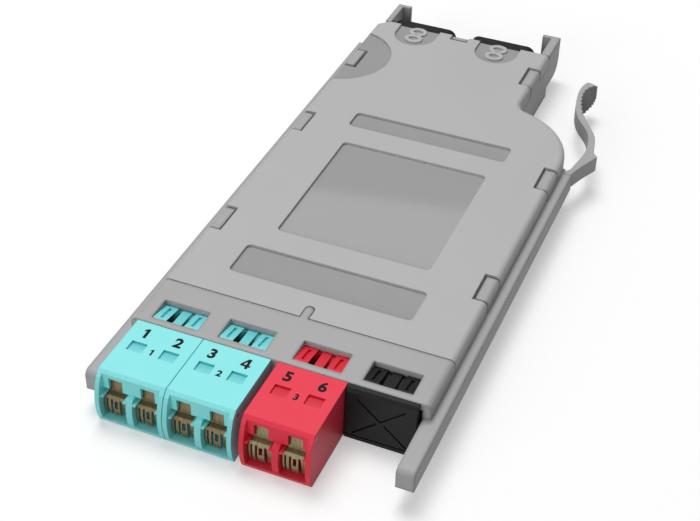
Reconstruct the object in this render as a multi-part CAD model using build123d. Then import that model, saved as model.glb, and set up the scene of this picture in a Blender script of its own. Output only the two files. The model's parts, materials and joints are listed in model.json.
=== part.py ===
from build123d import *
import math
import os

os.makedirs("parts", exist_ok=True)

# Ports of a front adapter: opening, wall between the two and walls beside them
port_width = 5.0
divider_t = 1.25
cheek_t = 0.875
port_pitch = port_width + divider_t
adapter_width = 2 * port_width + divider_t + 2 * cheek_t

# Bays: the step of the adapter inside the bezel, gaps between bays and the bezel's side wall
flange_step = 0.3
slot_gap = 0.15
middle_gap = 1.4
slot_shift = -0.2
slot_fit = 0.07
side_wall = 2.0
adapter_inner_width = adapter_width - 2 * flange_step
slot_pitch = adapter_width + slot_gap
slot_middle = adapter_width + middle_gap

# Housing: wide enough for its four bays, length and height over the cover
body_width = slot_middle + 2 * slot_pitch + adapter_inner_width + 2 * side_wall
body_length = 118.9
body_height = 10.9
floor_t = 1.2
wall_t = 1.4
skirt_t = 1.3
lid_t = 1.4
skirt_height = 2.9
seam_depth = 12.1
seam_gap = 0.22
edge_round = 1.2
rear_corner_cut = 1.5
lid_seat_gap = 0.04
half = body_width / 2
front_y = -body_length / 2
rear_y = body_length / 2
seam_y = front_y + seam_depth
ledge_z = body_height - skirt_height

# Large rounded shoulder on the right, measured from the rear, and the fillet of the neck
shoulder_r = 17.55
shoulder_back = 41.45
neck_fillet = 3.0
shoulder_y = rear_y - shoulder_back

# Side rails, their free bars in front of the bezel and how far they run back
rail_out = 2.05
rail_low_z = 3.9
bar_width = 3.3
bar_length = 12.9
bar_nose_r = 1.2
left_rail_back = 7.45
right_rail_past = 2.9
rail_x = half + rail_out

# Front adapter: reach in front of the bezel, depth behind it, and its side profile
adapter_reach = 13.6
adapter_inner_depth = 11.6
adapter_low_z = 0.05
adapter_top_gap = 0.1
nose_bevel = 1.15
bulge_out = 2.4
bulge_z = 5.6
toe_out = 1.6
bezel_roof_t = 1.52
window_width = 9.1
window_near = 1.5
window_far = 6.65
nose_y = front_y - adapter_reach
bulge_y = nose_y - bulge_out
toe_y = nose_y - toe_out
adapter_y1 = front_y + adapter_inner_depth
top_z = body_height - adapter_top_gap
bezel_roof_z = body_height - bezel_roof_t

# Port: face wall set back between the cheeks, latch slot over the opening, cavity behind
face_out = 0.6
face_t = 0.7
slot_half = 1.33
slot_lip = 0.3
port_floor_z = 0.95
port_roof_z = 7.0
cavity_relief = 0.25
cavity_roof_t = 1.08
axis_z = 3.6
holder_back = 1.55
face_y = nose_y - face_out
mid_y = front_y - holder_back
cavity_y0 = face_y + face_t
cavity_y1 = mid_y - 1.0
port_half = port_width / 2
cavity_half = port_half + cavity_relief
cavity_top_z = top_z - cavity_roof_t
slot_top_z = cavity_top_z - slot_lip

# Shutter leaf: sheet thickness, barrel in the cavity's upper front corner, tip over the floor
leaf_t = 0.25
leaf_half = 2.2
leaf_waist = 1.75
tab_low_z = 6.0
tip_lift = 0.45
barrel_r = 0.5
barrel_gap = 0.08
barrel_roof_gap = 0.12
stub_r = 0.42
stub_clear = 0.05
pivot_y = cavity_y0 + barrel_gap + barrel_r
pivot_z = cavity_top_z - barrel_roof_gap - barrel_r

# Sleeve holder, sleeves and ferrules, all on the port axis
holder_t = 0.7
tube_r = 1.45
tube_bore_r = 0.83
sleeve_r = 0.8
sleeve_bore_r = 0.64
sleeve_length = 6.8
ferrule_r = 0.625
ferrule_length = 8.97

# Rear multi-fibre adapters: place of the left one, distance to the right one, neck beside it
rear_inset = 10.9
rear_pitch = 19.4
neck_past = 12.0
rear_flange_half = 7.75
rear_flange_low = 0.5
rear_flange_drop = 0.4
rear_flange_t = 2.7
rear_body_half = 6.9
rear_wall_t = 0.65
rear_roof_t = 0.49
rear_mid_depth = 6.95
rear_open_gap = 0.06
rear_left_x = -half + rear_inset
rear_right_x = rear_left_x + rear_pitch
rear_centres = (rear_left_x, rear_right_x)
rear_middle_x = (rear_left_x + rear_right_x) / 2
neck_x = rear_right_x + neck_past
rear_mid_y = rear_y - rear_mid_depth
rear_flange_top = body_height - rear_flange_drop
rear_body_low = floor_t + 0.07
rear_body_top = body_height - lid_t - 0.06
rear_open_half = rear_body_half - rear_wall_t
rear_open_low = rear_body_low + 0.68
rear_open_top = rear_body_top - rear_roof_t
rear_axis_z = (rear_open_low + rear_open_top) / 2

# Tap splitters and the clamp over them
splitter_r = 1.5
splitter_length = 34.0
splitter_pitch = 7.5
splitter_y = -7.0
splitter_lift = 0.4
saddle_gap = 0.05
fibre_r = 0.42
splitter_z = floor_t + splitter_lift + splitter_r
splitter_xs = [rear_middle_x + (i - 1.5) * splitter_pitch for i in range(4)]

# Release lever: round root flush with the rail, its fit and its height
lever_boss_r = 0.85
lever_socket_clear = 0.06
lever_past = 2.0
lever_drop = 0.65
tooth_depth = 0.42
lever_x = rail_x - lever_boss_r
lever_y = shoulder_y + lever_past
lever_low_z = rail_low_z + lever_drop

outer_slot = slot_middle / 2 + slot_pitch
slot_xs = [
    slot_shift - outer_slot,
    slot_shift - slot_middle / 2,
    slot_shift + slot_middle / 2,
    slot_shift + outer_slot,
]


def block(x0, x1, y0, y1, z0, z1):
    centre = Pos((x0 + x1) / 2, (y0 + y1) / 2, (z0 + z1) / 2)
    return centre * Box(x1 - x0, y1 - y0, z1 - z0)


def rod_x(x0, x1, y, z, r):
    return Pos((x0 + x1) / 2, y, z) * Rot(0, 90, 0) * Cylinder(r, x1 - x0)


def rod_y(x, y0, y1, z, r):
    return Pos(x, (y0 + y1) / 2, z) * Rot(90, 0, 0) * Cylinder(r, y1 - y0)


def rod_z(x, y, z0, z1, r):
    return Pos(x, y, (z0 + z1) / 2) * Cylinder(r, z1 - z0)


def side_cut(points, x0, x1):
    face = make_face(Polyline(*points, close=True))
    return Pos(x0, 0, 0) * extrude(Plane.YZ * face, x1 - x0)


# Outline of a bent sheet, from its centre line and thickness
def sheet(points, t):
    left = []
    right = []
    for i, p in enumerate(points):
        before = points[max(i - 1, 0)]
        after = points[min(i + 1, len(points) - 1)]
        ax, ay = p[0] - before[0], p[1] - before[1]
        bx, by = after[0] - p[0], after[1] - p[1]
        la = math.hypot(ax, ay) or 1.0
        lb = math.hypot(bx, by) or 1.0
        na = (-ay / la, ax / la) if i > 0 else (-by / lb, bx / lb)
        nb = (-by / lb, bx / lb) if i < len(points) - 1 else na
        mx, my = na[0] + nb[0], na[1] + nb[1]
        size = math.hypot(mx, my)
        mx, my = mx / size, my / size
        reach = t / 2 / max(mx * na[0] + my * na[1], 0.4)
        left.append((p[0] + mx * reach, p[1] + my * reach))
        right.append((p[0] - mx * reach, p[1] - my * reach))
    return left + right[::-1]


# Outline of the housing seen from above, from a front line and an inset
def housing_face(y0, inset):
    h = half - inset
    n = neck_x - inset
    r1 = shoulder_r - inset
    r2 = neck_fillet + inset
    cx = half - shoulder_r
    cy = shoulder_y
    fx = n + r2
    fy = cy + math.sqrt((r1 + r2) ** 2 - (fx - cx) ** 2)
    tx = cx + (fx - cx) * r1 / (r1 + r2)
    ty = cy + (fy - cy) * r1 / (r1 + r2)
    a = math.atan2(ty - cy, tx - cx) / 2
    start = math.atan2(ty - fy, tx - fx)
    b = (start + (math.pi if start > 0 else -math.pi)) / 2
    y1 = rear_y - inset
    c = rear_corner_cut
    edges = [
        Line((-h, y0), (h, y0)),
        Line((h, y0), (h, cy)),
        ThreePointArc(
            (h, cy), (cx + r1 * math.cos(a), cy + r1 * math.sin(a)), (tx, ty)
        ),
        ThreePointArc(
            (tx, ty), (fx + r2 * math.cos(b), fy + r2 * math.sin(b)), (n, fy)
        ),
        Line((n, fy), (n, y1)),
        Line((n, y1), (-h + c, y1)),
        Line((-h + c, y1), (-h, y1 - c)),
        Line((-h, y1 - c), (-h, y0)),
    ]
    return make_face(edges)


def housing_solid(y0, inset, z0, z1):
    return Pos(0, 0, z0) * extrude(housing_face(y0, inset), z1 - z0)


# Edges of the top face that run along the sides, without the two straight ends
def top_side_edges(shape, end_a, end_b):
    top = shape.faces().sort_by(Axis.Z)[-1]
    edges = [e for e in top.edges() if abs(e.center().Y - end_a) > 0.5]
    return [e for e in edges if abs(e.center().Y - end_b) > 0.5]


# Snap hooks: distance of each from the front, the shoulder or the rear
hook_front = 33.25
hook_before_shoulder = 6.35
hook_back_left = 18.25
hook_back_right = 10.8
hook_length = 6.9
hook_gap = 0.5
hook_reach = 2.5
hook_post = 1.0
hook_drop = 0.3
hook_t = 0.85
hook_top_z = body_height - hook_drop
hook_under_z = hook_top_z - hook_t
hook_front_y = front_y + hook_front
hook_middle_y = shoulder_y - hook_before_shoulder
hooks = (
    (-1, hook_front_y, half),
    (-1, hook_middle_y, half),
    (-1, rear_y - hook_back_left, half),
    (1, hook_front_y, half),
    (1, hook_middle_y, half),
    (1, rear_y - hook_back_right, neck_x),
)

# Cover: a shallow lid with a skirt, recessed panels and hook notches
cover = housing_solid(seam_y + seam_gap, 0, ledge_z + lid_seat_gap, body_height)
cover = fillet(top_side_edges(cover, seam_y, rear_y), edge_round)
cover_room = housing_solid(seam_y - 1, skirt_t, ledge_z - 1, body_height - lid_t)
hook_pad = hook_reach + 1.4
for side, y, wall in hooks:
    x0 = wall - hook_pad if side > 0 else -wall
    y0 = y - hook_length / 2 - 1.2
    y1 = y + hook_length / 2 + 1.2
    cover_room = cover_room - block(
        x0, x0 + hook_pad, y0, y1, hook_under_z - 1.15, body_height - lid_t + 0.5
    )
cover = cover - cover_room
panel_depth = 0.5
panel_z = body_height - panel_depth


def panel(x0, x1, y0, y1, r):
    shape = block(x0, x1, y0, y1, panel_z, body_height + 1)
    return fillet(shape.edges().filter_by(Axis.Z), r)


panel_r = 1.0
name_x = -0.5
name_half = 18.25
name_gap = 6.9
name_length = 8.6
label_half = 15.7
label_gap = 6.1
label_length = 33.4
plate_half = 17.45
plate_gap = 6.2
plate_length = 5.5
name_y = seam_y + name_gap
label_y = name_y + name_length + label_gap
plate_y = label_y + label_length + plate_gap
cover = cover - panel(-label_half, label_half, label_y, label_y + label_length, panel_r)
cover = cover - panel(-plate_half, plate_half, plate_y, plate_y + plate_length, panel_r)
cover = cover - panel(
    name_x - name_half, name_x + name_half, name_y, name_y + name_length, panel_r
)
numeral_r = 4.95
numeral_back = 3.5
numeral_y = rear_y - numeral_back
for x in (rear_left_x - 0.3, rear_right_x + 0.1):
    cover = cover - rod_z(x, numeral_y, panel_z, body_height + 1, numeral_r)
    cover = cover - block(
        x - numeral_r, x + numeral_r, numeral_y, rear_y + 1, panel_z, body_height + 1
    )
thumb_out = 2.25
thumb_back = 18.2
thumb_r = 11.6
cover = cover - rod_z(
    -half - thumb_out, rear_y - thumb_back, panel_z, body_height + 1, thumb_r
)
deep = hook_reach + hook_gap
shallow = hook_post + 0.2
for side, y, wall in hooks:
    y0 = y - hook_length / 2 - hook_gap
    y1 = y + hook_length / 2 + hook_gap
    for depth, z0 in ((deep, hook_under_z - 0.15), (shallow, ledge_z - 1)):
        x0 = wall - depth if side > 0 else -wall - 1
        cover = cover - block(x0, x0 + depth + 1, y0, y1, z0, body_height + 1)

# Tongue of the bezel that reaches into a round-ended notch of the cover
tongue_half = 0.8
tongue_x = -0.2
tongue_length = 3.35
tongue_gap = 0.15
tongue_end = seam_y + tongue_length - tongue_half
cover = cover - block(
    tongue_x - tongue_half - tongue_gap,
    tongue_x + tongue_half + tongue_gap,
    seam_y - 1,
    tongue_end,
    ledge_z - 1,
    body_height + 1,
)
cover = cover - rod_z(
    tongue_x, tongue_end, ledge_z - 1, body_height + 1, tongue_half + tongue_gap
)

# Notch for the tab at the rear, and openings over the rear adapters
rear_tab_half = 1.75
rear_tab_depth = 2.1
rear_tab_gap = 0.3
cover = cover - block(
    rear_middle_x - rear_tab_half - rear_tab_gap,
    rear_middle_x + rear_tab_half + rear_tab_gap,
    rear_y - rear_tab_depth,
    rear_y + 1,
    ledge_z - 1,
    body_height + 1,
)
for x in rear_centres:
    w = rear_body_half + rear_open_gap
    cover = cover - block(
        x - w, x + w, rear_y - 3, rear_y + 1, ledge_z - 1, rear_body_top + rear_open_gap
    )

# Base tray: floor, lower walls, bezel, rails, hooks, rear posts and splitter ribs
base = housing_solid(front_y, 0, 0, ledge_z)
base = base - housing_solid(seam_y, wall_t, floor_t, body_height + 1)
bezel = block(-half, half, front_y, seam_y, 0, body_height)
bezel_top = bezel.faces().sort_by(Axis.Z)[-1]
bezel_edges = [e for e in bezel_top.edges() if abs(e.center().X) > half - 1]
bezel = fillet(bezel_edges, edge_round)
base = base + bezel
bay_half = adapter_inner_width / 2 + slot_fit
bays_left = slot_xs[0] - bay_half
bays_right = slot_xs[3] + bay_half
base = base - block(
    bays_left, bays_right, front_y - 1, seam_y + 1, floor_t, bezel_roof_z
)
base = base - block(
    -half + wall_t, half - wall_t, seam_y - 0.5, seam_y + 1, floor_t, bezel_roof_z
)

# Walls between the bays and small notches beside the outer ones
side_rib_half = (slot_pitch - adapter_inner_width) / 2 - slot_fit
bay_walls = (
    ((slot_xs[0] + slot_xs[1]) / 2, side_rib_half),
    (slot_shift, slot_middle / 2 - bay_half),
    ((slot_xs[2] + slot_xs[3]) / 2, side_rib_half),
)
for x, w in bay_walls:
    base = base + block(
        x - w, x + w, front_y, seam_y - 0.5, floor_t - 0.1, bezel_roof_z + 0.1
    )
notch_deep = 0.6
notch_low_z = 5.9
for x0, x1 in ((bays_left - notch_deep, bays_left + 1), (bays_right - 1, bays_right + notch_deep)):
    base = base - block(
        x0, x1, front_y - 1, front_y + 1.2, notch_low_z, bezel_roof_z + 0.1
    )
for x in slot_xs:
    base = base - block(
        x - window_width / 2,
        x + window_width / 2,
        front_y + window_near,
        front_y + window_far,
        bezel_roof_z - 0.2,
        body_height + 1,
    )
tongue_stop = tongue_end - tongue_gap
base = base + block(
    tongue_x - tongue_half,
    tongue_x + tongue_half,
    seam_y - 2,
    tongue_stop,
    bezel_roof_z,
    body_height,
)
base = base + rod_z(tongue_x, tongue_stop, bezel_roof_z, body_height, tongue_half)

# Rails along both sides, each ending in a free bar with a rounded nose
bar_y0 = front_y - bar_length
for side in (-1, 1):
    end_y = shoulder_y + right_rail_past if side > 0 else rear_y - left_rail_back
    lo = min(side * (half - 0.2), side * rail_x)
    hi = max(side * (half - 0.2), side * rail_x)
    ledge = block(lo, hi, front_y - 0.5, end_y, rail_low_z, ledge_z)
    lo = min(side * (rail_x - bar_width), side * rail_x)
    hi = max(side * (rail_x - bar_width), side * rail_x)
    bar = block(lo, hi, bar_y0, front_y + 0.5, rail_low_z, ledge_z)
    nose = bar.edges().filter_by(Axis.X).group_by(Axis.Y)[0].sort_by(Axis.Z)[-1]
    bar = fillet(nose, bar_nose_r)
    base = base + ledge + bar
socket_r = lever_boss_r + lever_socket_clear
base = base - rod_z(lever_x, lever_y, rail_low_z - 1, ledge_z + 1, socket_r)
base = base - block(
    lever_x - socket_r, rail_x + 1, lever_y, lever_y + 5, rail_low_z - 1, ledge_z + 1
)

# Snap hooks standing on the tray's wall
hook_round = 0.95
for side, y, wall in hooks:
    y0 = y - hook_length / 2
    y1 = y + hook_length / 2
    x0 = wall - hook_post if side > 0 else -wall
    post = block(x0, x0 + hook_post, y0, y1, ledge_z - 0.5, hook_top_z)
    x0 = wall - hook_reach if side > 0 else -wall
    hook = post + block(x0, x0 + hook_reach, y0, y1, hook_under_z, hook_top_z)
    corner = [
        e
        for e in hook.edges().filter_by(Axis.Y)
        if abs(e.center().X - side * wall) < 0.01
        and abs(e.center().Z - hook_top_z) < 0.01
    ]
    base = base + fillet(corner, hook_round)

for x in rear_centres:
    w = rear_body_half + rear_open_gap
    base = base - block(
        x - w, x + w, rear_y - wall_t - 1, rear_y + 1, floor_t, ledge_z + 1
    )

# Two posts behind the rear wall, each with a flange turned inwards
post_reach = 9.0
post_flange_t = 1.0
post_low_z = 2.4
left_post_gap = 0.1
right_post_t = 2.05
left_flange = 1.9
right_flange = 2.1
post_y1 = rear_y + post_reach


def rear_post(x_out, x_in, x_flange):
    lo, hi = min(x_out, x_in), max(x_out, x_in)
    lo2, hi2 = min(x_out, x_flange), max(x_out, x_flange)
    profile = [
        (rear_y - 0.3, post_low_z),
        (post_y1 - 3.2, post_low_z),
        (post_y1 - 1.6, post_low_z + 0.45),
        (post_y1 - 0.45, post_low_z + 1.6),
        (post_y1, post_low_z + 3.2),
        (post_y1, body_height),
        (rear_y - 0.3, body_height),
    ]
    wall = side_cut(profile, lo, hi)
    flange = side_cut(
        [
            (post_y1 - post_flange_t, post_low_z + 1.2),
            (post_y1 - 0.45, post_low_z + 1.6),
            (post_y1, post_low_z + 3.2),
            (post_y1, body_height),
            (post_y1 - post_flange_t, body_height),
        ],
        lo2,
        hi2,
    )
    return wall + flange


left_post_in = rear_left_x - rear_flange_half - left_post_gap
left_post_out = -half + rear_corner_cut + 0.15
right_post_in = neck_x - right_post_t
base = base + rear_post(left_post_out, left_post_in, left_post_in + left_flange)
base = base + rear_post(neck_x, right_post_in, right_post_in - right_flange)
base = base - block(
    -half - 1, half, rear_y - 5, rear_y + lid_seat_gap, ledge_z + 0.001, body_height + 1
)
base = base + block(
    rear_middle_x - rear_tab_half,
    rear_middle_x + rear_tab_half,
    rear_y - rear_tab_depth + 0.9,
    rear_y - 0.1,
    ledge_z - 0.5,
    body_height - 0.35,
)

# Two ribs across the floor with round saddles for the splitters
rib_past = 3.2
rib_half_t = 1.0
rib_spread = 11.0
rib_x0 = splitter_xs[0] - rib_past
rib_x1 = splitter_xs[3] + rib_past
for y in (splitter_y - rib_spread, splitter_y + rib_spread):
    rib = block(rib_x0, rib_x1, y - rib_half_t, y + rib_half_t, floor_t - 0.1, splitter_z)
    for x in splitter_xs:
        rib = rib - rod_y(x, y - 2, y + 2, splitter_z, splitter_r + saddle_gap)
    base = base + rib

# Clamp strip over the splitters, standing on two feet
clamp_half = 1.5
clamp_height = 2.3
foot_width = 1.2
clamp_y0 = splitter_y - clamp_half
clamp_y1 = splitter_y + clamp_half
clamp = block(rib_x0, rib_x1, clamp_y0, clamp_y1, splitter_z, splitter_z + clamp_height)
for x in splitter_xs:
    clamp = clamp - rod_y(
        x, clamp_y0 - 1, clamp_y1 + 1, splitter_z, splitter_r + saddle_gap
    )
for x in (rib_x0, rib_x1 - foot_width):
    clamp = clamp + block(
        x, x + foot_width, clamp_y0, clamp_y1, floor_t + 0.03, splitter_z + 0.1
    )

# Side profile of the front adapters: flat top, short bevel and a bulging front
back_y = front_y - 0.06
bevel_y = nose_y - nose_bevel
bevel_z = top_z - nose_bevel


def adapter_profile():
    edges = [
        Line((back_y, adapter_low_z), (back_y, top_z)),
        Line((back_y, top_z), (nose_y, top_z)),
        Line((nose_y, top_z), (bevel_y, bevel_z)),
        ThreePointArc((bevel_y, bevel_z), (bulge_y, bulge_z), (toe_y, adapter_low_z)),
        Line((toe_y, adapter_low_z), (back_y, adapter_low_z)),
    ]
    return make_face(edges)


# Front housing of an adapter around its own middle, with two shuttered ports
aw = adapter_width / 2
port_centres = (-port_pitch / 2, port_pitch / 2)
front_shape = Pos(-aw, 0, 0) * extrude(Plane.YZ * adapter_profile(), adapter_width)
inner_w = aw - cheek_t
front_shape = front_shape - block(
    -inner_w, inner_w, nose_y - 5, face_y, port_floor_z, body_height + 1
)

# Divider in front of the face: a sloping ledge on top, then the line of the bulge
divider_out = 1.05
divider_face = [
    Line((face_y + 0.2, port_floor_z - 0.1), (face_y + 0.2, port_roof_z + 0.2)),
    Line((face_y + 0.2, port_roof_z + 0.2), (face_y, port_roof_z + 0.2)),
    Line((face_y, port_roof_z + 0.2), (face_y - divider_out, port_roof_z - 0.2)),
    ThreePointArc(
        (face_y - divider_out, port_roof_z - 0.2),
        (bulge_y + 0.22, port_floor_z + 2.85),
        (toe_y - 0.1, port_floor_z - 0.1),
    ),
    Line((toe_y - 0.1, port_floor_z - 0.1), (face_y + 0.2, port_floor_z - 0.1)),
]
divider = extrude(Plane.YZ * make_face(divider_face), divider_t)
front_shape = front_shape + Pos(-divider_t / 2, 0, 0) * divider

# Openings, latch slots, cavities, guide shelves and pivot holes of the two ports
shelf_in = 0.65
shelf_low_z = 5.9
shelf_t = 0.3
shelf_reach = 1.35
hole_r = stub_r + stub_clear
hole_in = cavity_half + divider_t / 5
for c in port_centres:
    front_shape = front_shape - block(
        c - port_half, c + port_half, face_y - 0.1, cavity_y0 + 0.1, port_floor_z, port_roof_z
    )
    front_shape = front_shape - block(
        c - slot_half, c + slot_half, face_y - 0.1, cavity_y0 + 0.1, port_roof_z - 0.1, slot_top_z
    )
    front_shape = front_shape - block(
        c - cavity_half, c + cavity_half, cavity_y0, cavity_y1, port_floor_z, cavity_top_z
    )
    for side in (-1, 1):
        wall_x = c + side * (port_half + 0.05)
        edge_x = c + side * (port_half - shelf_in)
        front_shape = front_shape + block(
            min(wall_x, edge_x),
            max(wall_x, edge_x),
            face_y - shelf_reach,
            cavity_y0,
            shelf_low_z,
            shelf_low_z + shelf_t,
        )
    x0 = -aw - 1 if c < 0 else c - hole_in
    x1 = aw + 1 if c > 0 else c + hole_in
    front_shape = front_shape - rod_x(x0, x1, pivot_y, pivot_z, hole_r)
    front_shape = front_shape - rod_y(c, cavity_y1 - 1, front_y, axis_z, tube_r + 0.05)

# Room behind for the sleeve holder and the rear housing, and pockets in the top
core_half = aw - 0.8
core_low_z = floor_t - 0.1
core_top_z = port_roof_z + 1.1
front_shape = front_shape - block(
    -core_half, core_half, mid_y - holder_t / 2 - 0.03, front_y, core_low_z, core_top_z
)
pocket_back = 7.15
pocket_half_x = 1.5
pocket_half_y = 1.22
pocket_depth = 0.4
pocket_y = nose_y + pocket_back
for c in port_centres:
    front_shape = front_shape - block(
        c - pocket_half_x,
        c + pocket_half_x,
        pocket_y - pocket_half_y,
        pocket_y + pocket_half_y,
        top_z - pocket_depth,
        top_z + 1,
    )

# Rear housing of an adapter, inside the bezel, with the latch blocks in the window
rw = adapter_inner_width / 2
rear_low_z = floor_t + 0.05
rear_top_z = bezel_roof_z - 0.05
latch_gap = 0.06
latch_edge = window_width / 2 - 0.08
latch_width = 2.7
latch_middle = 0.9
latch_groove = 0.6


# Three blocks that stand in the window: two high ones with a groove, a low one between
def latch_blocks():
    y0 = front_y + window_near + latch_gap
    y1 = front_y + window_far - latch_gap
    foot = rear_top_z - 0.3
    high = [
        (y0, foot),
        (y0, body_height - 0.25),
        (y0 + 0.4, body_height - 0.2),
        (y1, body_height - 1.05),
        (y1, foot),
    ]
    low = [(y0, foot), (y0, body_height - 0.7), (y1, body_height - 1.15), (y1, foot)]
    groove = [
        (y0 + 0.8, body_height + 1),
        (y0 + 0.8, body_height - 0.75),
        (y1 - 0.8, body_height - 1.35),
        (y1 - 0.8, body_height + 1),
    ]
    blocks = side_cut(low, -latch_middle, latch_middle)
    for x in (-latch_edge, latch_edge - latch_width):
        blocks = blocks + side_cut(high, x, x + latch_width)
    for x in (-latch_edge + 1.1, latch_edge - 1.7):
        blocks = blocks - side_cut(groove, x, x + latch_groove)
    return blocks


# Inner plug sizes that the rear housing's sockets follow
plug_half = 2.25
plug_top = 2.26
plug_length = 17.9
plug_start = 1.1
plug_low_z = rear_low_z + 0.13
plug_top_z = axis_z + plug_top
plug_y0 = mid_y + plug_start
plug_y1 = plug_y0 + plug_length
key_half = 1.1
key_height = 1.49

rear_shape = block(-rw, rw, front_y + 0.04, adapter_y1, rear_low_z, rear_top_z)
rear_shape = rear_shape + block(
    -core_half + 0.05,
    core_half - 0.05,
    mid_y + holder_t / 2 + 0.05,
    front_y + 0.2,
    rear_low_z,
    core_top_z - 0.05,
)
rear_shape = rear_shape + latch_blocks()
for c in port_centres:
    rear_shape = rear_shape - block(
        c - plug_half - 0.1,
        c + plug_half + 0.1,
        mid_y,
        adapter_y1 + 1,
        plug_low_z - 0.03,
        plug_top_z + 0.09,
    )
    rear_shape = rear_shape - block(
        c - key_half - 0.2,
        c + key_half + 0.2,
        mid_y,
        adapter_y1 + 1,
        plug_top_z,
        plug_top_z + key_height + 0.25,
    )
rear_shape = rear_shape - block(
    -latch_middle - 0.75,
    -latch_middle - 0.05,
    front_y + window_near + 0.4,
    front_y + window_far - 0.5,
    axis_z,
    body_height,
)

# Sleeve holder plate with its two tubes
tube_half = sleeve_length / 2 + 0.15
holder_shape = block(
    -core_half + 0.1,
    core_half - 0.1,
    mid_y - holder_t / 2,
    mid_y + holder_t / 2,
    core_low_z + 0.1,
    core_top_z - 0.1,
)
for c in port_centres:
    holder_shape = holder_shape + rod_y(
        c, mid_y - tube_half, mid_y + tube_half, axis_z, tube_r
    )
for c in port_centres:
    holder_shape = holder_shape - rod_y(
        c, mid_y - sleeve_length / 2 - 0.03, mid_y + tube_half + 1, axis_z, tube_bore_r
    )
    holder_shape = holder_shape - rod_y(
        c, mid_y - tube_half - 1, mid_y, axis_z, ferrule_r + 0.075
    )

# Split alignment sleeve
sleeve_shape = rod_y(
    0, mid_y - sleeve_length / 2, mid_y + sleeve_length / 2, axis_z, sleeve_r
)
sleeve_shape = sleeve_shape - rod_y(
    0, mid_y - sleeve_length, mid_y + sleeve_length, axis_z, sleeve_bore_r
)
sleeve_shape = sleeve_shape - block(
    -0.14, 0.14, mid_y - 5, mid_y + 5, axis_z, axis_z + 2
)

# Shutter leaf: flat tab in the slot, short shelf, two curved fingers, web and flat tail
tab_y = pivot_y - barrel_r + leaf_t / 2
knee = (face_y - 0.05, tab_low_z - 0.35)
tip_z = port_floor_z + tip_lift
leaf_line = [
    (tab_y, pivot_z),
    (tab_y, tab_low_z),
    knee,
    (face_y - 0.3, tab_low_z - 1.0),
    (face_y - 0.45, tip_z + 2.2),
    (face_y - 0.35, tip_z + 1.0),
    (face_y - 0.05, tip_z),
]
tail_line = [knee, (face_y - 0.15, tip_z + 3.2), (face_y + 0.3, tip_z)]
cut_y0 = face_y - 2
cut_y1 = pivot_y + 2
finger_top_z = tab_low_z - 0.9
leaf = side_cut(sheet(leaf_line, leaf_t), -leaf_half, leaf_half)
tab_cuts = (
    (slot_half - 0.08, tab_low_z + 0.6, pivot_z - barrel_r - 0.05),
    (leaf_waist, tab_low_z - 0.25, tab_low_z + 0.6),
)
for x, z0, z1 in tab_cuts:
    leaf = leaf - block(-leaf_half - 1, -x, cut_y0, cut_y1, z0, z1)
    leaf = leaf - block(x, leaf_half + 1, cut_y0, cut_y1, z0, z1)
for x0, x1 in ((-1.85, -1.5), (-1.0, -0.6), (0.7, leaf_half + 1)):
    leaf = leaf - block(x0, x1, cut_y0, cut_y1, 0, finger_top_z)
leaf = leaf - block(-0.3, 0.35, cut_y0, cut_y1, tip_z + 1.8, tip_z + 3.4)
leaf = leaf + side_cut(sheet(tail_line, leaf_t), 1.05, leaf_half)
barrel_half = cavity_half - 0.15
stub_in = hole_in - 0.03
stub_out = aw - port_pitch / 2 - 0.05
leaf = leaf + rod_x(-barrel_half, barrel_half, pivot_y, pivot_z, barrel_r)
left_leaf = leaf + rod_x(-stub_out, stub_in, pivot_y, pivot_z, stub_r)
right_leaf = leaf + rod_x(-stub_in, stub_out, pivot_y, pivot_z, stub_r)

# Plug of the inner harness, pushed into the adapter from inside the housing
tube_end = mid_y + tube_half
ferrule_y1 = mid_y + ferrule_length
plug_shape = block(-plug_half, plug_half, plug_y0, plug_y1, plug_low_z, plug_top_z)
plug_shape = plug_shape - rod_y(0, plug_y0 - 1, tube_end + 0.25, axis_z, tube_r + 0.1)
plug_shape = plug_shape - rod_y(0, tube_end, ferrule_y1 + 0.02, axis_z, ferrule_r + 0.01)
key_profile = [
    (plug_y0 + 2.3, plug_top_z - 0.16),
    (plug_y0 + 2.3, plug_top_z + 0.34),
    (plug_y0 + 11.0, plug_top_z + key_height),
    (plug_y0 + 11.6, plug_top_z + key_height),
    (plug_y0 + 11.6, plug_top_z + key_height - 0.45),
    (plug_y0 + 5.3, plug_top_z - 0.16),
]
plug_shape = plug_shape + side_cut(key_profile, -key_half, key_half)
boot_length = 6.0
boot = Cone(1.6, 0.95, boot_length)
plug_shape = plug_shape + Pos(0, plug_y1 + boot_length / 2, axis_z) * Rot(-90, 0, 0) * boot
ferrule_shape = rod_y(0, mid_y + 0.01, ferrule_y1, axis_z, ferrule_r)

# Blank in the last slot: leaning face with crossed grooves, a lip below, latch blocks on top
blank_reach = 1.5
blank_toe = 2.15
blank_bevel = 0.6
lip_height = 0.75
blank_top = front_y - blank_reach
blank_foot = front_y - blank_toe
blank = side_cut(
    [
        (back_y, adapter_low_z),
        (back_y, top_z),
        (blank_top + blank_bevel, top_z),
        (blank_top, top_z - blank_bevel),
        (blank_foot, adapter_low_z + lip_height + 0.3),
        (blank_foot + 0.3, adapter_low_z + lip_height + 0.3),
        (blank_foot + 0.3, adapter_low_z + lip_height),
        (blank_foot, adapter_low_z + lip_height),
        (blank_foot, adapter_low_z),
    ],
    -aw,
    aw,
)
blank = blank + block(-rw, rw, front_y - 0.1, adapter_y1 - 3, rear_low_z, rear_top_z)
blank = blank - block(
    -rw + 1, rw - 1, front_y + 0.8, adapter_y1, rear_low_z + 1, rear_top_z - 1.2
)
blank = blank + latch_blocks()
groove_t = 0.35
groove_angle = 39.5
groove_z = bulge_z
lean = math.degrees(math.atan2(blank_toe - blank_reach, top_z - blank_bevel - 1.1))
groove_mid = (blank_top + blank_foot) / 2
groove_plane = Pos(0, groove_mid, groove_z) * Rot(-lean, 0, 0)
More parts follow.
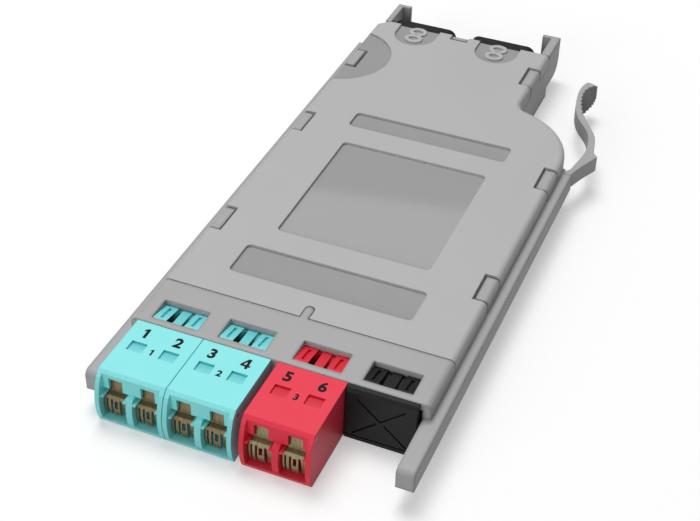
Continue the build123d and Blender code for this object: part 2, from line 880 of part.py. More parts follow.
for turn in (groove_angle, 180 - groove_angle):
    blank = blank - groove_plane * Rot(0, -turn, 0) * block(0, 5.7, -0.3, 0.3, -groove_t / 2, groove_t / 2)
for turn in (-groove_angle, 180 + groove_angle):
    blank = blank - groove_plane * Rot(0, -turn, 0) * block(0.9, 6.5, -0.3, 0.3, -groove_t / 2, groove_t / 2)

# Rear multi-fibre adapter around its own middle
rear_web = 0.5
rear_flange = block(
    -rear_flange_half,
    rear_flange_half,
    rear_y + 0.06,
    rear_y + rear_flange_t,
    rear_flange_low,
    rear_flange_top,
)
flange_tops = rear_flange.edges().filter_by(Axis.Y).group_by(Axis.Z)[-1]
rear_flange = fillet(flange_tops, 2.0)
rear_adapter = rear_flange + block(
    -rear_body_half,
    rear_body_half,
    rear_mid_y - 10,
    rear_y + 1,
    rear_body_low,
    rear_body_top,
)
for y0, y1 in ((rear_mid_y + rear_web, rear_y + 9), (rear_mid_y - 11, rear_mid_y - rear_web)):
    rear_adapter = rear_adapter - block(
        -rear_open_half, rear_open_half, y0, y1, rear_open_low, rear_open_top
    )
rear_adapter = rear_adapter - block(
    -3.4, 3.4, rear_mid_y - 2, rear_mid_y + 2, rear_axis_z - 1.5, rear_axis_z + 1.5
)

# Plug and ferrule of the inner harness in the rear adapter
mt_half = 3.2
mt_half_z = 1.3
mt_length = 6.5
mt_gap = 0.1
strain_half = 3.0
rear_plug_half = rear_open_half - 0.25
rear_plug_y0 = rear_mid_y - 20.5
strain_y0 = rear_plug_y0 - 6.0
mt_y0 = rear_mid_y - mt_length
rear_plug = block(
    -rear_plug_half,
    rear_plug_half,
    rear_plug_y0,
    rear_mid_y - rear_web - 0.1,
    rear_open_low + 0.15,
    rear_open_top - 0.15,
)
rear_plug = fillet(rear_plug.edges().filter_by(Axis.Y), 0.6)
rear_plug = rear_plug - block(
    -mt_half - mt_gap,
    mt_half + mt_gap,
    mt_y0,
    rear_mid_y,
    rear_axis_z - mt_half_z - 0.05,
    rear_axis_z + mt_half_z + 0.05,
)
rear_plug = rear_plug + block(
    -strain_half,
    strain_half,
    strain_y0,
    rear_plug_y0 + 0.5,
    rear_axis_z - 1.6,
    rear_axis_z + 1.6,
)
rear_ferrule = block(
    -mt_half, mt_half, mt_y0 + 0.03, rear_mid_y, rear_axis_z - mt_half_z, rear_axis_z + mt_half_z
)

splitter_shape = rod_y(
    0,
    splitter_y - splitter_length / 2,
    splitter_y + splitter_length / 2,
    splitter_z,
    splitter_r,
)


# Six-sided fibre swept from one end to the other, straight along Y at both ends
def fibre(start, via, end):
    path = Spline(start, via, end, tangents=[(0, 1, 0), (0, 1, 0)])
    section = Plane(origin=start, z_dir=(0, 1, 0)) * RegularPolygon(fibre_r, 6)
    return sweep(section, path=path)


plug_xs = []
for x in slot_xs[:3]:
    plug_xs.append(x - port_pitch / 2)
    plug_xs.append(x + port_pitch / 2)
boot_end = plug_y1 + boot_length + 0.03
coupler_front = splitter_y - splitter_length / 2 - 0.03
coupler_back = splitter_y + splitter_length / 2 + 0.03
fibre_ends = (
    (splitter_xs[0], splitter_z, 0.2),
    (splitter_xs[1], splitter_z, 0.2),
    (splitter_xs[2] - 0.7, splitter_z, 0.2),
    (splitter_xs[3] - 0.7, splitter_z, -0.7),
    (splitter_xs[2] + 0.7, splitter_z, 2.1),
    (splitter_xs[3] + 0.7, splitter_z, 0.2),
)
fibres = []
for x, (end_x, end_z, rise) in zip(plug_xs, fibre_ends):
    middle = ((x + end_x) / 2, (boot_end + coupler_front) / 2, splitter_z + rise)
    fibres.append(fibre((x, boot_end, axis_z), middle, (end_x, coupler_front, end_z)))

# Legs behind the splitters: the low set to the left plug, the high set to the right plug
leg_pitch = 1.5
leg_end_y = strain_y0 - 0.03
leg_mid_y = (coupler_back + leg_end_y) / 2 + 0.5
low_leg_z = splitter_z - 0.7
high_leg_z = splitter_z + 0.8
live_legs = None
tap_legs = None
for i, x in enumerate(splitter_xs):
    end_x = rear_left_x + (i - 1.5) * leg_pitch
    middle = ((x + end_x) / 2, leg_mid_y, low_leg_z + 0.05)
    leg = fibre((x, coupler_back, low_leg_z), middle, (end_x, leg_end_y, rear_axis_z))
    live_legs = leg if live_legs is None else live_legs + leg
    end_x = rear_right_x + (i - 1.5) * leg_pitch
    middle = ((x + end_x) / 2, leg_mid_y, high_leg_z + 1.7)
    leg = fibre((x, coupler_back, high_leg_z), middle, (end_x, leg_end_y, rear_axis_z))
    tap_legs = leg if tap_legs is None else tap_legs + leg

# Release lever: round root, barb, double curve and a toothed pad, seen from above its hinge
boss = lever_boss_r
inner_edge = Spline(
    (0.1, 1.3),
    (0.66, 4.74),
    (1.15, 8.5),
    (0.76, 12.44),
    (-0.41, 16.14),
    (-3.42, 20.46),
    (-5.38, 24.71),
    (-6.4, 29.6),
    (-6.6, 33.6),
    (-5.85, 36.5),
)
outer_edge = Spline((-2.9, 22.6), (-1.07, 19.49), (1.42, 15.32), (2.43, 11.57), (2.75, 9.3))
pad_line = [
    (-3.35, 35.68),
    (-4.45, 34.9),
    (-5.03, 33.6),
    (-5.3, 32.1),
    (-5.25, 30.6),
    (-5.0, 29.1),
    (-4.65, 27.5),
    (-4.2, 25.9),
    (-3.6, 24.2),
    (-2.9, 22.6),
]


# Zigzag along the pad's outer edge, its tips on the line and its roots inside it
def toothed(line, depth):
    out = [line[0]]
    for a, b in zip(line[:-1], line[1:]):
        mx, my = (a[0] + b[0]) / 2, (a[1] + b[1]) / 2
        dx, dy = b[0] - a[0], b[1] - a[1]
        size = math.hypot(dx, dy)
        out.append((mx + dy / size * depth, my - dx / size * depth))
        out.append(b)
    return out


lever_lines = [
    inner_edge,
    Line((-5.85, 36.5), (-4.78, 36.35)),
    Line((-4.78, 36.35), (-3.35, 35.68)),
    Polyline(*toothed(pad_line, tooth_depth)),
    outer_edge,
    Line((2.75, 9.3), (4.01, 7.86)),
    Line((4.01, 7.86), (2.0, 3.3)),
    Line((2.0, 3.3), (boss, 0)),
    ThreePointArc((boss, 0), (0, -boss), (-boss, 0)),
    Line((-boss, 0), (0.1, 1.3)),
]
lever_face = make_face([e for item in lever_lines for e in item.edges()])
lever = Pos(lever_x, lever_y, lever_low_z) * extrude(lever_face, ledge_z - lever_low_z)

# Write one file for each node
nodes = {
    "base_tray": base,
    "cover": cover,
    "release_lever": lever,
    "slot_blank": Pos(slot_xs[3], 0, 0) * blank,
    "splitter_clamp": clamp,
    "live_legs": live_legs,
    "tap_legs": tap_legs,
}
for i, x in enumerate(slot_xs[:3]):
    nodes[f"front_adapter_{i + 1}"] = Pos(x, 0, 0) * front_shape
    nodes[f"adapter_rear_{i + 1}"] = Pos(x, 0, 0) * rear_shape
    nodes[f"sleeve_holder_{i + 1}"] = Pos(x, 0, 0) * holder_shape
for i, x in enumerate(plug_xs):
    nodes[f"sleeve_{i + 1}"] = Pos(x, 0, 0) * sleeve_shape
    nodes[f"shutter_{i + 1}"] = Pos(x, 0, 0) * (left_leaf if i % 2 == 0 else right_leaf)
    nodes[f"inner_plug_{i + 1}"] = Pos(x, 0, 0) * plug_shape
    nodes[f"ferrule_{i + 1}"] = Pos(x, 0, 0) * ferrule_shape
    nodes[f"fibre_{i + 1}"] = fibres[i]
for name, x in zip(("left", "right"), rear_centres):
    nodes[f"rear_adapter_{name}"] = Pos(x, 0, 0) * rear_adapter
    nodes[f"rear_plug_{name}"] = Pos(x, 0, 0) * rear_plug
    nodes[f"rear_ferrule_{name}"] = Pos(x, 0, 0) * rear_ferrule
for i, x in enumerate(splitter_xs):
    nodes[f"splitter_{i + 1}"] = Pos(x, 0, 0) * splitter_shape
for name, shape in nodes.items():
    export_step(shape, f"parts/{name}.step")
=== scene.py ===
import json

import bmesh
import bpy
from mathutils import Matrix, Vector


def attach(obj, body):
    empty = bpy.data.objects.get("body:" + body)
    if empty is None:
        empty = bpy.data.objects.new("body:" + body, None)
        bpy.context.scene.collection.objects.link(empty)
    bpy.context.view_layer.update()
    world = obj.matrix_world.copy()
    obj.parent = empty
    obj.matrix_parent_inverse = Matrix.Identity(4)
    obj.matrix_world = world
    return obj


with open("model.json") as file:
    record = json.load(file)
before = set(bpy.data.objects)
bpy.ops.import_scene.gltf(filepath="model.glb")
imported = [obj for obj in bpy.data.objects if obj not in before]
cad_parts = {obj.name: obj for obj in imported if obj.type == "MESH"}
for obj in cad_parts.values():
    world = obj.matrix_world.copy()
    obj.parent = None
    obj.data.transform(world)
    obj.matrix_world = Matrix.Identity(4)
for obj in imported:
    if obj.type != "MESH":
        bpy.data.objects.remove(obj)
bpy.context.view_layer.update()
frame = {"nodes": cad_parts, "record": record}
cad = frame["nodes"]

MM = 0.001
MM_PER_METRE = 1000

# Places on the module in millimetres, as the CAD has them: the floor of the cover's
# recesses, the adapters' tops, the lever's top and underside, and its hinge in plan
RECESS_FLOOR = 10.4
ADAPTER_TOP = 10.8
LEVER_TOP_Z = 8.0
LEVER_LOW_Z = 4.55
LEVER_HINGE = (29.75, 20.0)

# Label pocket of the cover: its left, right, front and rear edge
LABEL_BOX = (-15.7, 15.7, -25.75, 7.65)

# Middles of the three adapters, the front and rear edge of the windows over their latch
# blocks and of the pockets in their tops, and the heights between which a pocket's faces lie
SLOT_XS = (-20.55, -7.4, 7.0)
WINDOW_YS = (-57.98, -52.77)
POCKET_YS = (-67.14, -64.66)
POCKET_ZS = (10.35, 10.79)

# Spans of x from an adapter's middle, and how strongly painted shade darkens each: the gaps
# beside the middle latch block, the three blocks, and the two pockets
GAP_SPANS = ((-1.8, -0.88, 0.92), (0.88, 1.8, 0.65))
BLOCK_SPANS = ((-4.6, -0.9, 0.8), (-0.9, 0.9, 0.95), (0.9, 4.6, 0.8))
POCKET_SPANS = ((-4.65, -1.6, 1.0), (1.6, 4.65, 1.0))

# Painted shade at the front of a pocket and of a latch block, where one is the painted shade at
# its rear
POCKET_FRONT_SHADE = 0.1
BLOCK_FRONT_SHADE = 0.25

# The painted shadow in the gaps starts this far ahead of the window's rear edge, and is at its
# darkest from this far behind its front edge
GAP_LIGHT_END = 0.6
GAP_DARK_END = 2.4

WHITE = "#FFFFFF"


# sRGB hex to the linear values that shaders take
def linear(hex_colour):
    text = hex_colour.lstrip("#")
    parts = [int(text[i : i + 2], 16) / 255 for i in (0, 2, 4)]
    return [p / 12.92 if p <= 0.04045 else ((p + 0.055) / 1.055) ** 2.4 for p in parts] + [1.0]


# Adds one node with its settings, values and links
def add(tree, kind, inputs=None, **settings):
    made = tree.nodes.new(kind)
    for name, value in settings.items():
        setattr(made, name, value)
    for name, value in (inputs or {}).items():
        if isinstance(value, bpy.types.NodeSocket):
            tree.links.new(value, made.inputs[name])
        else:
            made.inputs[name].default_value = value
    return made


# An empty material with its output, its shader and its object coordinates
def start_material(name):
    material = bpy.data.materials.new(name)
    material.use_nodes = True
    tree = material.node_tree
    tree.nodes.clear()
    shader = add(tree, "ShaderNodeBsdfPrincipled")
    add(tree, "ShaderNodeOutputMaterial", {"Surface": shader.outputs["BSDF"]})
    place = add(tree, "ShaderNodeTexCoord").outputs["Object"]
    return material, tree, shader, place


# Spark-eroded mould grain, a fine even pebble, over softly rounded edges. The real grain is
# too fine to show, so it is drawn about a quarter of a millimetre wide.
def mould_grain(tree, place, grain_mm, depth_mm, edge_mm, strength):
    pebble = add(
        tree,
        "ShaderNodeTexNoise",
        {"Vector": place, "Scale": MM_PER_METRE / grain_mm, "Detail": 2.0, "Roughness": 0.6},
    )
    corner = add(tree, "ShaderNodeBevel", {"Radius": edge_mm * MM}, samples=6)
    return add(
        tree,
        "ShaderNodeBump",
        {
            "Height": pebble.outputs["Fac"],
            "Distance": depth_mm * MM,
            "Strength": strength,
            "Normal": corner.outputs["Normal"],
        },
    ).outputs["Normal"]


# Slow drift between two close shades, as the melt leaves in a moulding and the kiln in a
# ceramic
def melt_shades(tree, place, low, high, patch_mm):
    drift = add(
        tree,
        "ShaderNodeTexNoise",
        {"Vector": place, "Scale": MM_PER_METRE / patch_mm, "Detail": 3.0, "Roughness": 0.55},
    )
    return add(
        tree,
        "ShaderNodeMix",
        {"Factor": drift.outputs["Fac"], "A": linear(low), "B": linear(high)},
        data_type="RGBA",
    ).outputs["Result"]


# One where a coordinate lies between two places in millimetres, and zero outside
def within(tree, coordinate, low, high):
    centre = (low + high) / 2 * MM
    reach = (high - low) / 2 * MM
    return add(
        tree, "ShaderNodeMath", {0: coordinate, 1: centre, 2: reach}, operation="COMPARE"
    ).outputs[0]


# Light grey polycarbonate and ABS, injection moulded: matt, with a fine grain, duller in
# the recesses, and polished in the label pocket, where it shows soft reflections
def grey_moulding(name, low, high, edge_mm=0.25):
    matt_roughness = 0.55
    polished_roughness = 0.05
    grain_strength = 0.55
    floor_reach = 0.05
    material, tree, shader, place = start_material(name)
    split = add(tree, "ShaderNodeSeparateXYZ", {"Vector": place})
    recessed = within(
        tree, split.outputs["Z"], RECESS_FLOOR - floor_reach, RECESS_FLOOR + floor_reach
    )
    across = within(tree, split.outputs["X"], LABEL_BOX[0], LABEL_BOX[1])
    along = within(tree, split.outputs["Y"], LABEL_BOX[2], LABEL_BOX[3])
    label = add(tree, "ShaderNodeMath", {0: across, 1: along}, operation="MULTIPLY")
    pocket = add(
        tree, "ShaderNodeMath", {0: label.outputs[0], 1: recessed}, operation="MULTIPLY"
    ).outputs[0]

    outer = melt_shades(tree, place, low, high, patch_mm=18.0)
    dull = melt_shades(tree, place, "#9C9C9C", "#A4A4A4", patch_mm=9.0)
    floors = add(
        tree, "ShaderNodeMix", {"Factor": recessed, "A": outer, "B": dull}, data_type="RGBA"
    )
    shades = add(
        tree,
        "ShaderNodeMix",
        {"Factor": pocket, "A": floors.outputs["Result"], "B": linear("#ACACAC")},
        data_type="RGBA",
    )
    tree.links.new(shades.outputs["Result"], shader.inputs["Base Color"])

    gloss = add(
        tree,
        "ShaderNodeMapRange",
        {"Value": pocket, "To Min": matt_roughness, "To Max": polished_roughness},
    )
    tree.links.new(gloss.outputs["Result"], shader.inputs["Roughness"])
    relief = add(
        tree, "ShaderNodeMapRange", {"Value": pocket, "To Min": grain_strength, "To Max": 0.0}
    )
    grain = mould_grain(
        tree,
        place,
        grain_mm=0.28,
        depth_mm=0.02,
        edge_mm=edge_mm,
        strength=relief.outputs["Result"],
    )
    tree.links.new(grain, shader.inputs["Normal"])
    shader.inputs["IOR"].default_value = 1.57
    return material


# Painted shade of the spans that an x lies in, where the spans are the same in every adapter
def slot_shade(tree, x, spans):
    total = 0.0
    for slot_x in SLOT_XS:
        for low, high, shade in spans:
            inside = within(tree, x, slot_x + low, slot_x + high)
            total = add(
                tree, "ShaderNodeMath", {0: inside, 1: shade, 2: total}, operation="MULTIPLY_ADD"
            ).outputs[0]
    return total


# How dark the painted shadow is at a point, from 0 to 1, in the gaps beside the middle latch
# block of a window: darkest toward the front, where the view goes deepest
def gap_depth(tree, place):
    split = add(tree, "ShaderNodeSeparateXYZ", {"Vector": place})
    total = slot_shade(tree, split.outputs["X"], GAP_SPANS)
    along = within(tree, split.outputs["Y"], WINDOW_YS[0], WINDOW_YS[1])
    toward_front = add(
        tree,
        "ShaderNodeMapRange",
        {
            "Value": split.outputs["Y"],
            "From Min": (WINDOW_YS[1] - GAP_LIGHT_END) * MM,
            "From Max": (WINDOW_YS[0] + GAP_DARK_END) * MM,
        },
    )
    shown = add(
        tree,
        "ShaderNodeMath",
        {0: along, 1: toward_front.outputs["Result"]},
        operation="MULTIPLY",
    )
    return add(
        tree, "ShaderNodeMath", {0: total, 1: shown.outputs[0]}, operation="MULTIPLY"
    ).outputs[0]


# From a painted shade at the front of a span of y to one at its rear, and zero outside it
def toward_rear(tree, y, span, front_shade):
    inside = within(tree, y, span[0], span[1])
    rise = add(
        tree,
        "ShaderNodeMapRange",
        {
            "Value": y,
            "From Min": span[0] * MM,
            "From Max": span[1] * MM,
            "To Min": front_shade,
        },
    )
    return add(
        tree,
        "ShaderNodeMath",
        {0: inside, 1: rise.outputs["Result"]},
        operation="MULTIPLY",
    ).outputs[0]


# How strong the painted shade is at a point, from 0 to 1, in the pockets of the adapters' tops
# and on the latch blocks in the windows
def hollow_depth(tree, place):
    split = add(tree, "ShaderNodeSeparateXYZ", {"Vector": place})
    sunk = within(tree, split.outputs["Z"], POCKET_ZS[0], POCKET_ZS[1])
    across = slot_shade(tree, split.outputs["X"], POCKET_SPANS)
    along = toward_rear(tree, split.outputs["Y"], POCKET_YS, POCKET_FRONT_SHADE)
    level = add(tree, "ShaderNodeMath", {0: across, 1: sunk}, operation="MULTIPLY")
    pockets = add(
        tree, "ShaderNodeMath", {0: level.outputs[0], 1: along}, operation="MULTIPLY"
    )
    block_across = slot_shade(tree, split.outputs["X"], BLOCK_SPANS)
    block_along = toward_rear(tree, split.outputs["Y"], WINDOW_YS, BLOCK_FRONT_SHADE)
    return add(
        tree,
        "ShaderNodeMath",
        {0: block_across, 1: block_along, 2: pockets.outputs[0]},
        operation="MULTIPLY_ADD",
    ).outputs[0]


# Glass-filled thermoplastic of the adapters: saturated and a little glossier than the shell,
# with painted shade darkening it toward the rear of its hollows and painted shadow making it
# dark in the deep gaps between the latch blocks. The black flanges, the plugs and the fibres'
# buffers share it, without that painted shade and shadow.
def adapter_moulding(name, low, high, roughness, hollow_painted_shade=None, gap_painted_shade=None):
    material, tree, shader, place = start_material(name)
    colour = melt_shades(tree, place, low, high, patch_mm=6.0)
    # Mixes in the painted shade of the hollows and the painted shadow of the gaps
    for depth, shade in ((hollow_depth, hollow_painted_shade), (gap_depth, gap_painted_shade)):
        if shade:
            colour = add(
                tree,
                "ShaderNodeMix",
                {"Factor": depth(tree, place), "A": colour, "B": linear(shade)},
                data_type="RGBA",
            ).outputs["Result"]
    tree.links.new(colour, shader.inputs["Base Color"])
    grain = mould_grain(
        tree, place, grain_mm=0.22, depth_mm=0.012, edge_mm=0.16, strength=0.5
    )
    tree.links.new(grain, shader.inputs["Normal"])
    shader.inputs["Roughness"].default_value = roughness
    shader.inputs["IOR"].default_value = 1.53
    shader.inputs["Specular IOR Level"].default_value = 0.2
    return material


# Lines that rolling or drawing leaves, stretched along one axis. The real ones are too fine
# to show, so they are drawn a few tenths of a millimetre apart.
def drawn_lines(tree, place, line_mm, squeeze, detail):
    stretched = add(tree, "ShaderNodeMapping", {"Vector": place, "Scale": squeeze})
    return add(
        tree,
        "ShaderNodeTexNoise",
        {
            "Vector": stretched.outputs["Vector"],
            "Scale": MM_PER_METRE / line_mm,
            "Detail": detail,
        },
    ).outputs["Fac"]


# Phosphor bronze strip, rolled and stamped: lines down the leaf, coloured in light and dark
# streaks that are partly the rolled lines and partly painted reflection, and a warm uneven sheen
# under a light tarnish
def bronze_strip(name, low, high):
    material, tree, shader, place = start_material(name)
    lines = drawn_lines(tree, place, line_mm=0.35, squeeze=(1.0, 1.0, 0.08), detail=4.0)
    # The streaks' light and dark colours are partly painted reflection
    colour = add(
        tree,
        "ShaderNodeMix",
        {"Factor": lines, "A": linear(low), "B": linear(high)},
        data_type="RGBA",
    )
    tree.links.new(colour.outputs["Result"], shader.inputs["Base Color"])
    sheen = add(tree, "ShaderNodeMapRange", {"Value": lines, "To Min": 0.2, "To Max": 0.4})
    tree.links.new(sheen.outputs["Result"], shader.inputs["Roughness"])
    corner = add(tree, "ShaderNodeBevel", {"Radius": 0.08 * MM}, samples=4)
    relief = add(
        tree,
        "ShaderNodeBump",
        {
            "Height": lines,
            "Distance": 0.01 * MM,
            "Strength": 0.4,
            "Normal": corner.outputs["Normal"],
        },
    )
    tree.links.new(relief.outputs["Normal"], shader.inputs["Normal"])
    shader.inputs["Metallic"].default_value = 0.5
    return material


# Zirconia, ground and polished: white, hard and glossy
def zirconia():
    material, tree, shader, place = start_material("Polished zirconia")
    colour = melt_shades(tree, place, "#E9E7DF", "#F2F0EA", patch_mm=1.5)
    tree.links.new(colour, shader.inputs["Base Color"])
    shader.inputs["Roughness"].default_value = 0.12
    shader.inputs["IOR"].default_value = 2.15
    return material


# Drawn stainless tube: fine lines along its length
def drawn_tube():
    material, tree, shader, place = start_material("Drawn stainless tube")
    lines = drawn_lines(tree, place, line_mm=0.2, squeeze=(1.0, 0.03, 1.0), detail=3.0)
    colour = add(
        tree,
        "ShaderNodeMix",
        {"Factor": lines, "A": linear("#A9A9AB"), "B": linear("#C6C6C8")},
        data_type="RGBA",
    )
    tree.links.new(colour.outputs["Result"], shader.inputs["Base Color"])
    shader.inputs["Metallic"].default_value = 1.0
    shader.inputs["Roughness"].default_value = 0.32
    return material


# Pad-printed ink: near black and dull, slightly mottled where the grain shows through. The
# specks are a little coarser than the real ones, which are too fine to show.
def pad_print():
    speck_mm = 0.15
    material, tree, shader, place = start_material("Black pad print")
    speck = add(
        tree,
        "ShaderNodeTexNoise",
        {"Vector": place, "Scale": MM_PER_METRE / speck_mm, "Detail": 2.0},
    )
    colour = add(
        tree,
        "ShaderNodeMix",
        {"Factor": speck.outputs["Fac"], "A": linear("#08090A"), "B": linear("#111214")},
        data_type="RGBA",
    )
    tree.links.new(colour.outputs["Result"], shader.inputs["Base Color"])
    shader.inputs["Roughness"].default_value = 0.6
    shader.inputs["Specular IOR Level"].default_value = 0.2
    return material


# Finishes of the record's material slots
finishes = {
    "grey_shell": grey_moulding("Grey moulded PC-ABS", "#AFAFAF", "#B6B6B6"),
    # The aqua and red copies carry painted shade in their hollows and painted shadow in the gaps
    "aqua_plastic": adapter_moulding(
        "Aqua moulded PBT",
        "#96FAFB",
        "#9EFFFF",
        roughness=0.42,
        hollow_painted_shade="#62CDD6",
        gap_painted_shade="#06191A",
    ),
    "red_plastic": adapter_moulding(
        "Red moulded PBT",
        "#FB3D53",
        "#FF4359",
        roughness=0.42,
        hollow_painted_shade="#DC162E",
        gap_painted_shade="#30060A",
    ),
    "black_plastic": adapter_moulding(
        "Black moulded PBT", "#1C1C1D", "#232324", roughness=0.45
    ),
    "plug_plastic": adapter_moulding(
        "Natural moulded polyetherimide", "#C9B98A", "#D4C597", roughness=0.4
    ),
    "ceramic": zirconia(),
    "bronze_leaf": bronze_strip("Bronze strip", "#5C4C36", "#A8946C"),
    "bronze_leaf_green": bronze_strip("Bronze strip, olive", "#645E40", "#BDB48A"),
    "splitter_steel": drawn_tube(),
    "fibre_jacket": adapter_moulding(
        "Aqua fibre buffer", "#35AEB4", "#3DBBC0", roughness=0.3
    ),
    "tap_jacket": adapter_moulding("Red fibre buffer", "#C0303E", "#CB3A48", roughness=0.3),
}
ink = pad_print()

# The same grey plastic in three copies: one painted lighter for the cover, as painted light,
# one painted darker for the grip's steep face, as painted shade, and one for the tray, whose
# outer edges are rounder
cover_painted_light_finish = grey_moulding("Grey moulded PC-ABS, cover, painted light", "#BCBCBC", "#C2C2C2")
grip_painted_shade_finish = grey_moulding("Grey moulded PC-ABS, grip, painted shade", "#838383", "#8B8B8B", edge_mm=0.1)
tray_finish = grey_moulding("Grey moulded PC-ABS, tray", "#AFAFAF", "#B6B6B6", edge_mm=1.0)

slot_of = {s["node"]: s["material_slot"] for s in frame["record"]["subparts"]}
for name, node in cad.items():
    node.data.materials.clear()
    node.data.materials.append(finishes[slot_of[name]])
# The cover takes the lighter copy of the grey, painted light
cad["cover"].data.materials[0] = cover_painted_light_finish
cad["base_tray"].data.materials[0] = tray_finish


# Turns a curve, a text or a modified object into a mesh, with its place in the mesh
def settle(piece, finish):
    depsgraph = bpy.context.evaluated_depsgraph_get()
    mesh = bpy.data.meshes.new_from_object(piece.evaluated_get(depsgraph))
    mesh.transform(piece.matrix_world)
    made = bpy.data.objects.new(piece.name + "_mesh", mesh)
    bpy.context.scene.collection.objects.link(made)
    name = piece.name
    bpy.data.objects.remove(piece)
    made.name = name
    mesh.name = name
    mesh.materials.clear()
    mesh.materials.append(finish)
    return made


# Numerals drawn point by point, one unit tall: the one has a flag, the four an open eye
DRAWN_NUMERALS = {
    "1": (
        (
            (0.17, 0),
            (0.4, 0),
            (0.4, 1),
            (0.24, 1),
            (0.0, 0.84),
            (0.0, 0.66),
            (0.17, 0.76),
        ),
    ),
    "4": (
        (
            (0.4, 0),
            (0.61, 0),
            (0.61, 0.21),
            (0.74, 0.21),
            (0.74, 0.38),
            (0.61, 0.38),
            (0.61, 1),
            (0.37, 1),
            (0.0, 0.4),
            (0.0, 0.21),
            (0.4, 0.21),
        ),
        ((0.4, 0.38), (0.4, 0.74), (0.18, 0.38)),
    ),
}

# How far the font's outline is thickened and half the print's thickness, both in the units
# that the outlines are drawn in, and how far the print's middle lies above the plastic in
# millimetres
NUMERAL_BOLD = 0.035
PRINT_HALF_DEPTH = 0.008
PRINT_LIFT = 0.01

# Places in millimetres of the large numerals, one over each port, and of the small ones, one
# over each pair of ports. The shifts put them as the print lies, a little left of the middle.
PORT_NUMERAL_X = 3.25
PORT_NUMERAL_SHIFT = -0.15
PORT_NUMERAL_Y = -62.2
PORT_NUMERAL_HEIGHT = 2.45
PAIR_NUMERAL_SHIFT = -0.1
PAIR_NUMERAL_Y = -66.2
PAIR_NUMERAL_HEIGHT = 1.5


# A filled outline of one numeral, drawn or from the font
def numeral_outline(name, text):
    if text in DRAWN_NUMERALS:
        curve = bpy.data.curves.new(name, "CURVE")
        curve.dimensions = "2D"
        for loop in DRAWN_NUMERALS[text]:
            line = curve.splines.new("POLY")
            line.points.add(len(loop) - 1)
            for point, (x, y) in zip(line.points, loop):
                point.co = (x, y, 0, 1)
            line.use_cyclic_u = True
        curve.fill_mode = "BOTH"
    else:
        curve = bpy.data.curves.new(name, "FONT")
        curve.body = text
        curve.offset = NUMERAL_BOLD
        curve.resolution_u = 6
    curve.extrude = PRINT_HALF_DEPTH
    return curve


# One numeral printed on an adapter's top: where its middle lies and how tall it is
def printed_numeral(name, text, x, y, height):
    piece = bpy.data.objects.new(name, numeral_outline(name, text))
    bpy.context.scene.collection.objects.link(piece)
    bpy.context.view_layer.update()
    middle = sum((Vector(corner) for corner in piece.bound_box), Vector()) / 8
    scale = Matrix.Scale(height / piece.dimensions.y * MM, 4)
    place = Matrix.Translation(Vector((x, y, ADAPTER_TOP + PRINT_LIFT)) * MM)
    piece.matrix_world = place @ scale @ Matrix.Translation(-middle)
    bpy.context.view_layer.update()
    piece = settle(piece, ink)
    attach(piece, "housing")


# Numerals of the six ports and of the three pairs
def printed_numerals():
    for i, slot_x in enumerate(SLOT_XS):
        for j, side in enumerate((-1, 1)):
            number = 2 * i + j + 1
            printed_numeral(
                f"port_numeral_{number}",
                str(number),
                slot_x + PORT_NUMERAL_SHIFT + side * PORT_NUMERAL_X,
                PORT_NUMERAL_Y,
                PORT_NUMERAL_HEIGHT,
            )
        printed_numeral(
            f"pair_numeral_{i + 1}",
            str(i + 1),
            slot_x + PAIR_NUMERAL_SHIFT,
            PAIR_NUMERAL_Y,
            PAIR_NUMERAL_HEIGHT,
        )


printed_numerals()

# Raised eights in the rear recesses, in millimetres: the middle of the left one, and sizes
EIGHT_X = -17.97
EIGHT_Y = 56.2
EIGHT_SIZES = {
    "Ring width": 4.4,
    "Ring length": 3.75,
    "Ring distance": 3.2,
    "Bead width": 1.1,
    "Bead relief": 0.4,
    "Bead round": 0.2,
    "Pitch": 19.8,
}


